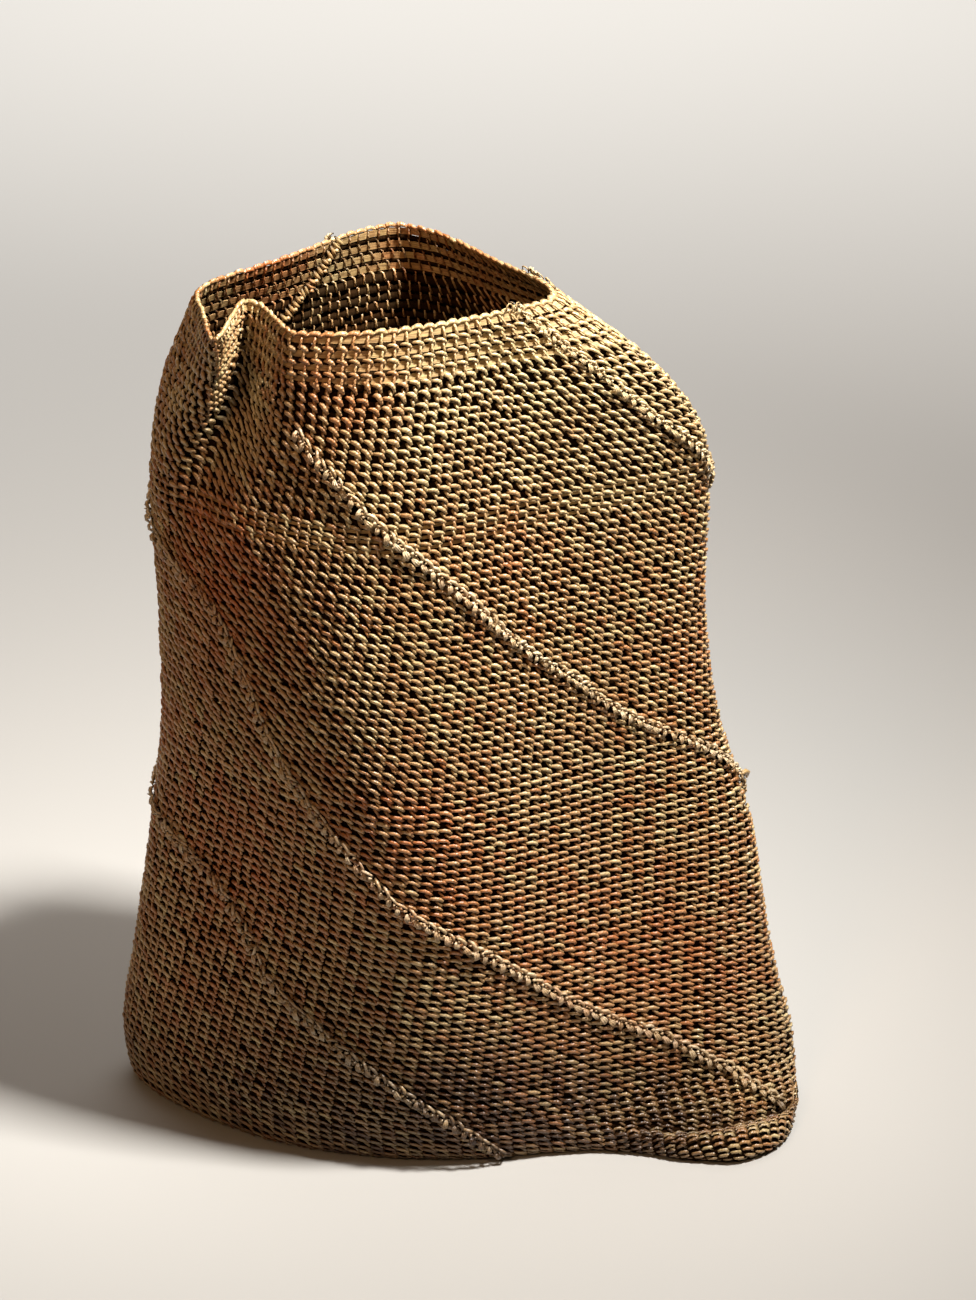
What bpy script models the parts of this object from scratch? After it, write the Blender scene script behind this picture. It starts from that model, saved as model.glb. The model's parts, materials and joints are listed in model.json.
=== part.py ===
"""Looped string bag, standing open on its own base.

One continuous piece of looped string fabric: a tall wall that rises from an oval base, leans in
to a small mouth, is pinched into one deep pleat at the mouth's front left, and spills into a flat
roll of cloth at the foot of the front right. Four rows of knots spiral down the wall.

The fabric is modelled as a sheet of even thickness. Its outside face is a loft: a table of plan
sections, one row per height, each a closed curve through eight named meridians.
Lengths in the tables are millimetres.
"""
import bmesh
import bpy
import numpy as np

# ---------------------------------------------------------------- driving dimensions
MM = 0.001
HEIGHT = 438.0           # floor to mouth edge
SHEET = 3.0              # thickness of the looped fabric
FOOT_HEIGHT = 30.0       # the wall starts here; below it the foot turns under
ROLL_REACH = 41.0        # how far the roll of base cloth lies out from the wall's foot
RIDGE_HALF_WIDTH = 4.5
RIDGE_RISE = 3.5
TAIL_RISE = 4.0          # extra rise where a knot tail stands off the right-hand edge
TAIL_HEIGHT = 172.0
TAIL_SPREAD = 12.0

# Plan sections: height, then x, y of the outside face on each named meridian.
MERIDIANS = ("right", "front_right", "front", "front_left",
             "left", "back_left", "back", "back_right")
SECTIONS = (
    # height  right       front_right  front       front_left   left        back_left   back       back_right
    (0,    (175, -35), (98, -73),  (-8, -96),   (-106, -73), (-176, 0),   (-104, 70), (-2, 94),  (104, 60)),
    (30,   (173, -22), (98, -66),  (-10, -99),  (-106, -68), (-176, 6),   (-106, 74), (-4, 96),  (102, 62)),
    (80,   (161, -12), (90, -60),  (-15, -103), (-102, -66), (-168, 6),   (-108, 74), (-6, 98),  (96, 62)),
    (155,  (148, -5),  (78, -56),  (-26, -106), (-97, -66),  (-156, 4),   (-106, 72), (-10, 98), (84, 62)),
    (210,  (131, -3),  (66, -57),  (-36, -106), (-99, -70),  (-149, -2),  (-104, 68), (-14, 96), (74, 60)),
    (270,  (123, -2),  (60, -55),  (-42, -103), (-101, -73), (-148, -6),  (-103, 62), (-18, 95), (68, 56)),
    (335,  (123, -2),  (52, -50),  (-42, -97),  (-103, -70), (-149, -12), (-102, 54), (-22, 94), (64, 52)),
    (365,  (119, -6),  (44, -51),  (-42, -93),  (-100, -66), (-147, -16), (-100, 48), (-24, 93), (58, 47)),
    (400,  (94, -14),  (30, -53),  (-41, -87),  (-99, -65),  (-139, -20), (-96, 41),  (-26, 90), (44, 38)),
    (438,  (45, -24),  (11, -55),  (-40, -78),  (-105, -69), (-123, -14), (-89, 30),  (-28, 87), (18, 33)),
)

# Folds at the mouth: the pleat pushes in, the lip beside it pushes out.
# height, meridian (0 right, 2 front, 4 left), width towards the front, width towards the left, push x, push y
PLEAT = ((315, 3.50, 28, 28, 0, 0), (365, 3.24, 27, 22, 0, 9),
         (400, 3.08, 27, 16, 0, 22), (438, 2.89, 28, 9, 2, 41))
LIP = ((315, 3.90, 26, 26, 0, 0), (365, 3.62, 22, 26, 0, -6),
       (400, 3.40, 18, 24, 0, -15), (438, 3.19, 15, 22, 0, -28))

# Roll of base cloth lying out from the foot: meridian, push x, push y.
ROLL = ((-0.35, 0, 0), (-0.15, 0, -6), (0.0, 1, -19), (0.12, 0, -31), (0.3, -1, -39), (0.5, -2, -41),
        (0.7, -2, -33), (0.85, -1, -26), (1.0, 0, -17), (1.25, 0, -5), (1.5, 0, 0))

# Profile of the foot: step, inset and height where it is plain, share of the push and height in the roll.
FOOT = ((0.00, 7.0, 0, 0.80, 0), (0.12, 2.2, 2, 0.94, 2), (0.24, 0.4, 6, 1.00, 8),
        (0.36, 0.0, 10, 0.92, 14), (0.50, 0.0, 14, 0.68, 17), (0.64, 0.0, 18, 0.34, 13),
        (0.74, 0.0, 21, 0.08, 7), (0.80, 0.0, 23, 0.00, 7), (0.88, 0.0, 26, 0.00, 16),
        (1.00, 0.0, 30, 0.00, 30))

# Rows of knots: height and meridian, from the mouth down.
RIDGES = {
    "ridge_right": ((438, 0.60), (418, 0.55), (392, 0.47), (374, 0.38), (348, 0.11), (300, -0.55),
                    (200, -1.75), (100, -2.80), (30, -3.40), (0, -3.60)),
    "ridge_front": ((438, 2.66), (422, 2.63), (404, 2.64), (386, 2.52), (364, 2.16), (346, 1.93),
                    (314, 1.60), (268, 1.21), (222, 0.68), (200, 0.33), (172, -0.04), (100, -0.90),
                    (30, -1.75), (0, -2.10)),
    "ridge_left": ((438, 5.47), (414, 5.25), (364, 4.62), (314, 3.80), (298, 3.36), (264, 3.05),
                   (230, 2.83), (194, 2.48), (162, 2.14), (116, 1.61), (68, 1.10), (30, 0.66), (0, 0.30)),
    "ridge_back": ((438, 7.45), (400, 6.95), (300, 5.70), (220, 4.70), (162, 3.95), (144, 3.43),
                   (120, 3.13), (96, 2.94), (74, 2.60), (52, 2.28), (30, 1.97), (0, 1.66)),
}

# Mesh layout: panels between ridges, and the heights of the wall's rings.
PANEL_COLUMNS = {"ridge_right": 10, "ridge_front": 19, "ridge_left": 9, "ridge_back": 12}
PLEAT_COLUMNS = (4, 4)   # columns between ridge_front and the pleat's valley, and from there to the lip
PLEAT_FROM, PLEAT_TO = 335.0, 380.0   # the columns gather at the pleat between these heights
WALL_STEPS = 34
BASE_RINGS = (0.86, 0.45)
SAMPLES = 1600           # points a section is measured with


# ---------------------------------------------------------------- the shape
def spline(stations, values, at):
    """Smooth curve through values given at rising stations."""
    x = np.asarray(stations, float)
    y = np.asarray(values, float)
    at = np.clip(np.asarray(at, float), x[0], x[-1])
    gap = np.diff(x)
    slope = np.diff(y, axis=0) / gap.reshape((-1,) + (1,) * (y.ndim - 1))
    tangent = np.empty_like(y)
    tangent[0], tangent[-1] = slope[0], slope[-1]
    for i in range(1, len(x) - 1):
        tangent[i] = (slope[i - 1] * gap[i] + slope[i] * gap[i - 1]) / (gap[i] + gap[i - 1])
    k = np.clip(np.searchsorted(x, at, side="right") - 1, 0, len(x) - 2)
    shape = at.shape + (1,) * (y.ndim - 1)
    t = ((at - x[k]) / gap[k]).reshape(shape)
    h = gap[k].reshape(shape)
    return ((1 + 2 * t) * (1 - t) ** 2 * y[k] + t * (1 - t) ** 2 * h * tangent[k]
            + t * t * (3 - 2 * t) * y[k + 1] + t * t * (t - 1) * h * tangent[k + 1])


HEIGHTS = [row[0] for row in SECTIONS]
POINTS = np.array([row[1:] for row in SECTIONS], float)


def section(u, height):
    """Plan point of the plain loft on meridian u (0 to 8) at a height."""
    u, height = np.broadcast_arrays(np.asarray(u, float), np.asarray(height, float))
    ring = spline(HEIGHTS, POINTS, height.ravel())
    flat = u.ravel()
    low = np.floor(flat).astype(int)
    t = (flat - low)[:, None]
    row = np.arange(flat.size)
    a, b, c, d = (ring[row, (low + step) % 8] for step in (-1, 0, 1, 2))
    ab, bc, cd = (np.linalg.norm(q - p, axis=1, keepdims=True) for p, q in ((a, b), (b, c), (c, d)))
    start = ((b - a) / ab * bc + (c - b) / bc * ab) / (ab + bc) * bc
    end = ((c - b) / bc * cd + (d - c) / cd * bc) / (bc + cd) * bc
    point = ((1 + 2 * t) * (1 - t) ** 2 * b + t * (1 - t) ** 2 * start
             + t * t * (3 - 2 * t) * c + t * t * (t - 1) * end)
    return point.reshape(u.shape + (2,))


def folded(u, height):
    """Plan point with the pleat and its lip."""
    u, height = np.broadcast_arrays(np.asarray(u, float), np.asarray(height, float))
    plain = section(u, height)
    out = plain.copy()
    for fold in (PLEAT, LIP):
        rows = np.array(fold, float)
        at = spline(rows[:, 0], rows[:, 1:], height.ravel()).reshape(height.shape + (5,))
        side = (u - at[..., 0] + 4) % 8 - 4
        width = np.where(side < 0, at[..., 1], at[..., 2])
        reach = np.linalg.norm(plain - section(at[..., 0], height), axis=-1)
        t = np.clip(reach / width, 0, 1)
        amount = np.where((height > rows[0, 0]) & (np.abs(side) < 1.6), (1 - t * t) ** 2, 0)
        out = out + amount[..., None] * at[..., 3:5]
    return out


def outward(u, height):
    """Plan direction pointing away from the bag on meridian u."""
    step = 0.004
    along = section(u + step, height) - section(u - step, height)
    along /= np.linalg.norm(along, axis=-1, keepdims=True)
    return np.stack([-along[..., 1], along[..., 0]], axis=-1)


def foot(u, step):
    """Point of the turned-under foot, with the roll of base cloth at the front right."""
    u, step = np.broadcast_arrays(np.asarray(u, float), np.asarray(step, float))
    profile = np.array(FOOT)
    inset, plain_z, share, roll_z = np.moveaxis(spline(profile[:, 0], profile[:, 1:], step), -1, 0)
    roll = np.array(ROLL)
    around = (u + 4) % 8 - 4
    push = spline(roll[:, 0], roll[:, 1:], around)
    push = np.where(((around > roll[0, 0]) & (around < roll[-1, 0]))[..., None], push, 0)
    rolled = np.clip(np.linalg.norm(push, axis=-1) / ROLL_REACH, 0, 1)
    z = np.clip(plain_z * (1 - rolled) + roll_z * rolled, 0, None)
    xy = section(u, z) - outward(u, z) * (inset * (1 - 0.6 * rolled))[..., None] + push * share[..., None]
    return np.concatenate([xy, z[..., None]], axis=-1)


def base(u, share):
    """Point of the flat base, a share of the way out from its middle."""
    rim = foot(u, 0.0)
    middle = np.array([0.0, -4.0, 0.0])
    return middle + (rim - middle) * np.asarray(share, float)[..., None]


def columns(height):
    """Meridian of every mesh column at a height, and how far each is raised."""
    at = {name: float(spline([r[0] for r in rows][::-1], [r[1] for r in rows][::-1], height))
          for name, rows in RIDGES.items()}
    first = at["ridge_right"]
    dense = np.linspace(first, first + 8, SAMPLES + 1)
    line = folded(dense, float(max(height, FOOT_HEIGHT)))
    run = np.concatenate([[0], np.cumsum(np.linalg.norm(np.diff(line, axis=0), axis=1))])
    names = list(RIDGES)
    marks = [float(np.interp(at[name], dense, run)) for name in names] + [run[-1]]
    where, raised = [], []
    for name, start, stop in zip(names, marks, marks[1:]):
        tail = TAIL_RISE * np.exp(-((height - TAIL_HEIGHT) / TAIL_SPREAD) ** 2) if name == "ridge_front" else 0
        where += [start, start + RIDGE_HALF_WIDTH]
        raised += [RIDGE_RISE + tail, 0]
        inner = np.linspace(0, 1, PANEL_COLUMNS[name] + 2)[1:-1]
        low, high = start + RIDGE_HALF_WIDTH, stop - RIDGE_HALF_WIDTH
        place = low + (high - low) * inner
        if name == "ridge_front" and height > PLEAT_FROM:
            near = min((height - PLEAT_FROM) / (PLEAT_TO - PLEAT_FROM), 1.0)
            valley, lip = (float(np.interp(spline([r[0] for r in fold], [r[1] for r in fold], height), dense, run))
                           for fold in (PLEAT, LIP))
            first, second = PLEAT_COLUMNS
            gathered = np.concatenate([np.linspace(low, valley, first + 1)[1:],
                                       np.linspace(valley, lip, second + 2)[1:],
                                       np.linspace(lip, high, len(inner) - first - second + 1)[1:-1]])
            place = place + (gathered - place) * near * near * (3 - 2 * near)
        where += list(place) + [high]
        raised += [0] * (len(inner) + 1)
    return np.interp(where, run, dense), np.array(raised, float)


def rings():
    """All rings of the outside face, from the middle of the base up to the mouth."""
    u, raised = columns(0)
    out = [base(u, np.full(len(u), 0.0))] + [base(u, np.full(len(u), s)) for s in BASE_RINGS[::-1]]
    for step in [row[0] for row in FOOT][:-1]:
        ring_u, raised = columns(FOOT_HEIGHT * step)
        ring = foot(ring_u, step)
        ring[:, :2] += outward(ring_u, ring[:, 2]) * (raised * min(1.0, step * 2))[:, None]
        out.append(ring)
    for height in np.linspace(FOOT_HEIGHT, HEIGHT, WALL_STEPS + 1):
        ring_u, raised = columns(height)
        level = np.full(len(ring_u), float(height))
        xy = folded(ring_u, level) + outward(ring_u, level) * raised[:, None]
        out.append(np.concatenate([xy, level[:, None]], axis=1))
    return np.array(out) * MM


# ---------------------------------------------------------------- Blender objects
def collection(name):
    made = bpy.data.collections.new(name)
    bpy.context.scene.collection.children.link(made)
    return made


def material(name, colour, roughness):
    made = bpy.data.materials.new(name)
    made.use_nodes = True
    shader = made.node_tree.nodes["Principled BSDF"]
    shader.inputs["Base Color"].default_value = (*colour, 1)
    shader.inputs["Roughness"].default_value = roughness
    return made


def loft(name, shape):
    """Closed loft through rings: a grid wrapped round, welded at the seam and at the middle."""
    count, around = shape.shape[:2]
    mesh = bpy.data.meshes.new(name)
    bm = bmesh.new()
    bmesh.ops.create_grid(bm, x_segments=around, y_segments=count - 1, size=0.5)
    for vert in bm.verts:
        column = round((vert.co.x + 0.5) * around)
        row = round((vert.co.y + 0.5) * (count - 1))
        vert.co = shape[row, column % around]
    bmesh.ops.remove_doubles(bm, verts=bm.verts[:], dist=0.00001)
    bmesh.ops.dissolve_degenerate(bm, edges=bm.edges[:], dist=0.00001)
    bmesh.ops.triangulate(bm, faces=bm.faces[:], quad_method="SHORT_EDGE")
    bmesh.ops.recalc_face_normals(bm, faces=bm.faces[:])
    lowest = min(bm.faces, key=lambda face: face.calc_center_median().z)
    lowest.normal_update()
    if lowest.normal.z > 0:
        bmesh.ops.reverse_faces(bm, faces=bm.faces[:])
    bm.to_mesh(mesh)
    bm.free()
    return bpy.data.objects.new(name, mesh)


for thing in list(bpy.data.objects):
    bpy.data.objects.remove(thing, do_unlink=True)

bilum = collection("bilum")
bag_body = loft("bag_body", rings())
bag_body.data.materials.append(material("plant_fibre_string", (0.52, 0.38, 0.20), 0.75))
thick = bag_body.modifiers.new("sheet", "SOLIDIFY")
thick.thickness = SHEET * MM
thick.offset = -1
thick.use_even_offset = False
thick.use_rim = True
bilum.objects.link(bag_body)
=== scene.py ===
# %% [markdown]
# # A looped string bag
# The bag is one long plant-fibre string, looped row on row into cloth. This lesson makes every
# stitch of it as a real piece of bent string: more than thirteen thousand stitches, in seven joined
# meshes, with flat ribbon strands under the mouth and four spiral lines of knots. The measured solid
# model of the bag is loaded first. It stays as the frame, and the string cloth is built in its place.

# %% The measured model
import json
import math

import bmesh
import bpy
import numpy as np
from mathutils import Matrix, Vector

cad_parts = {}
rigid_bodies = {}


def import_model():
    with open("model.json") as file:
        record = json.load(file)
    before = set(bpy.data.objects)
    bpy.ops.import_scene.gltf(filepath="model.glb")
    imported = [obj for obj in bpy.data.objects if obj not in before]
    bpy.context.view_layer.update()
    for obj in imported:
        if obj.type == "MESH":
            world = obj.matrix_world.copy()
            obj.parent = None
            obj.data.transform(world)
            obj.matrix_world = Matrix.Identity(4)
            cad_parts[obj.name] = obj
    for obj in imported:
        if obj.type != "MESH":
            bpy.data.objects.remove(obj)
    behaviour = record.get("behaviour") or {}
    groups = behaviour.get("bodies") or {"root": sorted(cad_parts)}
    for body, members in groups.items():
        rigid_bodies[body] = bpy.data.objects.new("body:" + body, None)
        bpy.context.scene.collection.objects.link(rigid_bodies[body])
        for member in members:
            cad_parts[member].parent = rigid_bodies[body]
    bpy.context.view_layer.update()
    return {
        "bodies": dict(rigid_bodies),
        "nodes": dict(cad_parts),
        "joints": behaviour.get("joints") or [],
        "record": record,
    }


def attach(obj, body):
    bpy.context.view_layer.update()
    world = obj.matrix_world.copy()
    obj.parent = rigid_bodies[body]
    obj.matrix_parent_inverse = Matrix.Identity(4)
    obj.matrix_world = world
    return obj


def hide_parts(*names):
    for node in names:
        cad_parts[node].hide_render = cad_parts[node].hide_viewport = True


for thing in list(bpy.data.objects):
    bpy.data.objects.remove(thing, do_unlink=True)

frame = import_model()

# %% [markdown]
# ## The camera
# The camera faces the front of the bag and looks down at it by 24 degrees. A wide lens close by would
# bulge the mouth, so a long lens from 1.9 m is used, which keeps the sides nearly parallel. It is made
# first, so that every later piece can be judged from it.

# %% Camera
CAMERA_TARGET = Vector((0.0151, 0.0, 0.2425))
CAMERA_RAISED = math.radians(24)
CAMERA_AWAY = 1.9


def in_scene(name, data):
    """A new object, linked to the scene."""
    made = bpy.data.objects.new(name, data)
    bpy.context.scene.collection.objects.link(made)
    return made


lens = bpy.data.cameras.new("view")
lens.sensor_width, lens.lens = 36.0, 105.2
camera = in_scene("view", lens)
to_camera = Vector((0, -math.cos(CAMERA_RAISED), math.sin(CAMERA_RAISED)))
camera.location = CAMERA_TARGET + to_camera * CAMERA_AWAY
camera.rotation_euler = (-to_camera).to_track_quat("-Z", "Y").to_euler()
bpy.context.scene.camera = camera
print("camera at", [round(v, 3) for v in camera.location])

# %% [markdown]
# ## The shape of the cloth
# A looped bag has no seams: the wall, the turned-under foot and the base are one cloth. So one smooth
# surface is enough, and every stitch is laid on it. It could be sculpted, but a short table of plan
# sections is easier to change: each row is a height, then eight points round the bag. All table
# lengths are millimetres, and the bag's own meridians run from 0 at the right, over 2 at the front
# and 4 at the left, to 6 at the back.

# %% Sections of the wall
MM = 0.001
HEIGHT = 438.0
FOOT_HEIGHT = 30.0
SECTIONS = (
    # height, then right, front right, front, front left, left, back left, back and back right
    (0, (175, -35), (98, -73), (-8, -96), (-106, -73), (-176, 0), (-104, 70), (-2, 94), (104, 60)),
    (30, (173, -22), (98, -66), (-10, -99), (-106, -68), (-176, 6), (-106, 74), (-4, 96), (102, 62)),
    (80, (161, -12), (90, -60), (-15, -103), (-102, -66), (-168, 6), (-108, 74), (-6, 98), (96, 62)),
    (155, (148, -5), (78, -56), (-26, -106), (-97, -66), (-156, 4), (-106, 72), (-10, 98), (84, 62)),
    (210, (131, -3), (66, -57), (-36, -106), (-99, -70), (-149, -2), (-104, 68), (-14, 96), (74, 60)),
    (270, (123, -2), (60, -55), (-42, -103), (-101, -73), (-148, -6), (-103, 62), (-18, 95), (68, 56)),
    (335, (123, -2), (52, -50), (-42, -97), (-103, -70), (-149, -12), (-102, 54), (-22, 94), (64, 52)),
    (365, (119, -6), (44, -51), (-42, -93), (-100, -66), (-147, -16), (-100, 48), (-24, 93), (58, 47)),
    (400, (94, -14), (30, -53), (-41, -87), (-99, -65), (-139, -20), (-96, 41), (-26, 90), (44, 38)),
    (438, (45, -24), (11, -55), (-40, -78), (-105, -69), (-123, -14), (-89, 30), (-28, 87), (18, 33)),
)
# folds at the mouth: height, meridian, width towards the front and the left, push x, push y
PLEAT = ((315, 3.50, 28, 28, 0, 0), (365, 3.24, 27, 22, 0, 9),
         (400, 3.08, 27, 16, 0, 22), (438, 2.89, 28, 9, 2, 41))
LIP = ((315, 3.90, 26, 26, 0, 0), (365, 3.62, 22, 26, 0, -6),
       (400, 3.40, 18, 24, 0, -15), (438, 3.19, 15, 22, 0, -28))
FOLD_SPAN = 1.6      # meridians on either side that a fold may reach
# roll of base cloth at the foot: meridian, push x, push y
ROLL = ((-0.35, 0, 0), (-0.15, 0, -6), (0.0, 1, -19), (0.12, 0, -31), (0.3, -1, -39), (0.5, -2, -41),
        (0.7, -2, -33), (0.85, -1, -26), (1.0, 0, -17), (1.25, 0, -5), (1.5, 0, 0))
ROLL_REACH = 41.0    # the longest push
ROLL_FOLDS = 36.0    # push outwards at which the cloth folds right over
ROLL_FLATTENS = 0.6  # share of the plain foot's inset that the roll takes away
# profile of the foot: step, inset and height where plain, share of the push and height in the roll
FOOT = ((0.00, 9.0, 0, 0.80, 0), (0.12, 5.0, 2, 0.94, 2), (0.24, 3.2, 6, 1.00, 7),
        (0.36, 2.0, 10, 0.96, 12), (0.50, 1.2, 14, 0.80, 15), (0.62, 0.7, 17, 0.54, 12),
        (0.70, 0.5, 20, 0.38, 7), (0.78, 0.3, 22, 0.30, 8), (0.88, 0.1, 26, 0.14, 18),
        (1.00, 0.0, 30, 0.00, 30))


# %% Smooth curves through a table
TINY = 1e-9


def unit(vectors):
    """Vectors, each made one long."""
    return vectors / np.maximum(np.linalg.norm(vectors, axis=-1, keepdims=True), TINY)


def spline(stations, values, at):
    """Smooth curve through values given at rising stations."""
    x, y = np.asarray(stations, float), np.asarray(values, float)
    at = np.clip(np.asarray(at, float), x[0], x[-1])
    gap = np.diff(x)
    slope = np.diff(y, axis=0) / gap.reshape((-1,) + (1,) * (y.ndim - 1))
    tangent = np.empty_like(y)
    tangent[0], tangent[-1] = slope[0], slope[-1]
    for i in range(1, len(x) - 1):
        tangent[i] = (slope[i - 1] * gap[i] + slope[i] * gap[i - 1]) / (gap[i] + gap[i - 1])
    k = np.clip(np.searchsorted(x, at, side="right") - 1, 0, len(x) - 2)
    shape = at.shape + (1,) * (y.ndim - 1)
    t, h = ((at - x[k]) / gap[k]).reshape(shape), gap[k].reshape(shape)
    return ((1 + 2 * t) * (1 - t) ** 2 * y[k] + t * (1 - t) ** 2 * h * tangent[k]
            + t * t * (3 - 2 * t) * y[k + 1] + t * t * (t - 1) * h * tangent[k + 1])


def section(u, height):
    """Plan point of the plain wall on meridian u at a height."""
    u, height = np.broadcast_arrays(np.asarray(u, float), np.asarray(height, float))
    table = np.array([row[1:] for row in SECTIONS], float)
    ring = spline([row[0] for row in SECTIONS], table, height.ravel())
    flat = u.ravel()
    whole = np.floor(flat).astype(int)
    t, each = (flat - whole)[:, None], np.arange(flat.size)
    a, b, c, d = (ring[each, (whole + step) % 8] for step in (-1, 0, 1, 2))
    ab, bc, cd = (np.linalg.norm(q - p, axis=1, keepdims=True) for p, q in ((a, b), (b, c), (c, d)))
    start = ((b - a) / ab * bc + (c - b) / bc * ab) / (ab + bc) * bc
    end = ((c - b) / bc * cd + (d - c) / cd * bc) / (bc + cd) * bc
    point = ((1 + 2 * t) * (1 - t) ** 2 * b + t * (1 - t) ** 2 * start
             + t * t * (3 - 2 * t) * c + t * t * (t - 1) * end)
    return point.reshape(u.shape + (2,))


def outwards(u, height):
    """Direction square to the plain wall, in plan."""
    nudge = 0.004
    along = unit(section(u + nudge, height) - section(u - nudge, height))
    return np.stack([-along[..., 1], along[..., 0]], axis=-1)


def folded(u, height):
    """Plan point of the wall with the pleat and its lip."""
    u, height = np.broadcast_arrays(np.asarray(u, float), np.asarray(height, float))
    plain = section(u, height)
    out = plain.copy()
    for fold in (PLEAT, LIP):
        rows = np.array(fold, float)
        at = spline(rows[:, 0], rows[:, 1:], height.ravel()).reshape(height.shape + (5,))
        side = (u - at[..., 0] + 4) % 8 - 4
        width = np.where(side < 0, at[..., 1], at[..., 2])
        reach = np.linalg.norm(plain - section(at[..., 0], height), axis=-1)
        t = np.clip(reach / width, 0, 1)
        amount = np.where((height > rows[0, 0]) & (np.abs(side) < FOLD_SPAN), (1 - t * t) ** 2, 0)
        out = out + amount[..., None] * at[..., 3:5]
    return out


def foot(u, step):
    """Point of the turned-under foot, from its top at step 1 to the floor at step 0."""
    u, step = np.broadcast_arrays(np.asarray(u, float), np.asarray(step, float))
    profile, roll = np.array(FOOT), np.array(ROLL)
    inset, plain_z, share, roll_z = np.moveaxis(spline(profile[:, 0], profile[:, 1:], step), -1, 0)
    around = (u + 4) % 8 - 4
    push = spline(roll[:, 0], roll[:, 1:], around)
    push = np.where(((around > roll[0, 0]) & (around < roll[-1, 0]))[..., None], push, 0)
    rolled = np.clip(np.linalg.norm(push, axis=-1) / ROLL_REACH, 0, 1)
    # the roll folds over only where it is pushed outwards, not where it is pushed along the wall
    turned = np.clip((push * outwards(u, FOOT_HEIGHT / 2)).sum(axis=-1) / ROLL_FOLDS, 0, 1)
    over = 1 - (1 - turned) ** 2
    rolled_z = roll_z * (0.5 + 0.5 * np.maximum(turned, step))
    z = np.clip(plain_z * (1 - over) + rolled_z * over, 0, None)
    drawn_in = inset * (1 - ROLL_FLATTENS * rolled)
    xy = section(u, z) - outwards(u, z) * drawn_in[..., None] + push * share[..., None]
    return np.concatenate([xy, z[..., None]], axis=-1)


# %% [markdown]
# ## Lines of stitches
# The maker works round and round, so each row of stitches is a level line round the wall. Below the
# foot the rows simply go on: out over the roll of loose cloth, under the bag, and in to a short
# starting line in the middle of the base. A row is therefore named by its path, the distance down
# the cloth from the mouth. The columns start on one leaning line at the front, so that they stand
# in neat files there, and what is left over is shared out at the back.

# %% The path down the cloth
AROUND = 960       # points round the bag at which a row is worked out
COLUMN_LINE = ((0, 2.36), (30, 2.34), (80, 2.24), (155, 2.00), (210, 1.83), (270, 1.69),
               (335, 1.57), (365, 1.48), (400, 1.32), (438, 0.98))   # height, meridian
WALL_PATH = HEIGHT - FOOT_HEIGHT
START_SHARE, START_X, START_Y = 0.46, 2, -6.0    # starting line: share of the rim's x, its middle
FOOT_STEPS, BASE_STEPS = 90, 60
fractions = np.linspace(0, 1, AROUND, endpoint=False)    # shares of the way round


def first_column(height):
    """Meridian at which the columns of stitches start at a height."""
    line = np.array(COLUMN_LINE, float)
    return float(spline(line[:, 0], line[:, 1], height))


def under_lines():
    """Points from the wall's foot down, under and in to the starting line, for every meridian."""
    u = first_column(0) - 8 * fractions
    turned = np.array([foot(u, step) for step in np.linspace(1, 0, FOOT_STEPS)])
    rim = turned[-1]
    start_x, start_y = rim[:, 0] * START_SHARE + START_X, np.full(AROUND, START_Y)
    start_line = np.stack([start_x, start_y, np.zeros(AROUND)], axis=1)
    shares = np.linspace(0, 1, BASE_STEPS)[1:]
    return np.concatenate([turned, np.array([rim + (start_line - rim) * share for share in shares])])


UNDER = under_lines()
UNDER_RUN = np.concatenate([np.zeros((1, AROUND)),
                            np.cumsum(np.linalg.norm(np.diff(UNDER, axis=0), axis=2), axis=0)])
LAST_PATH = WALL_PATH + UNDER_RUN[-1].max()
print("path under the foot, mm:", UNDER_RUN[-1].min().round(), "to", UNDER_RUN[-1].max().round())


def cloth_line(path):
    """Points of the cloth's outer face all round the bag, to the right from the first column."""
    near = 4.0     # mm below the mouth; a row above the mouth goes on in the direction from there
    if path <= WALL_PATH:
        height = HEIGHT - max(path, 0)
        u = first_column(height) - 8 * fractions
        line = np.column_stack([folded(u, height), np.full(AROUND, height)])
        return line + (line - cloth_line(near)) * (-path / near) if path < 0 else line
    below = path - WALL_PATH
    return np.array([[np.interp(below, UNDER_RUN[:, i], UNDER[:, i, k]) for k in range(3)]
                     for i in range(AROUND)])


# %% The rows, from the mouth to the middle of the base
FIRST_ROW = 1.4      # path of the row at the mouth
ROW_PITCH = ((0, 6.3), (14, 6.0), (26, 5.6), (31, 5.0), (103, 4.9), (158, 4.65), (283, 4.45),
             (358, 4.25), (408, 4.1), (700, 4.4))    # path, distance between rows
SLOPE_STEP = 1.5     # mm up and down the cloth, over which its slope is taken
SMOOTHING = 4        # points on either side, over which the directions are evened out
# at the back the columns lean most, so part of that lean is taken out, by shares of the way round
LEAN_MIDDLE, LEAN_WIDTH, LEAN_FADE, LEAN_TAKEN = 0.47, 0.125, 1.6, 0.75


def run_along(points):
    """Distance from the first point of a line to each of its points."""
    return np.concatenate([[0], np.cumsum(np.linalg.norm(np.diff(points, axis=0), axis=1))])


def row_pitch_at(path):
    """Distance from the row at a path to the next one."""
    return float(np.interp(path, *zip(*ROW_PITCH)))


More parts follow.
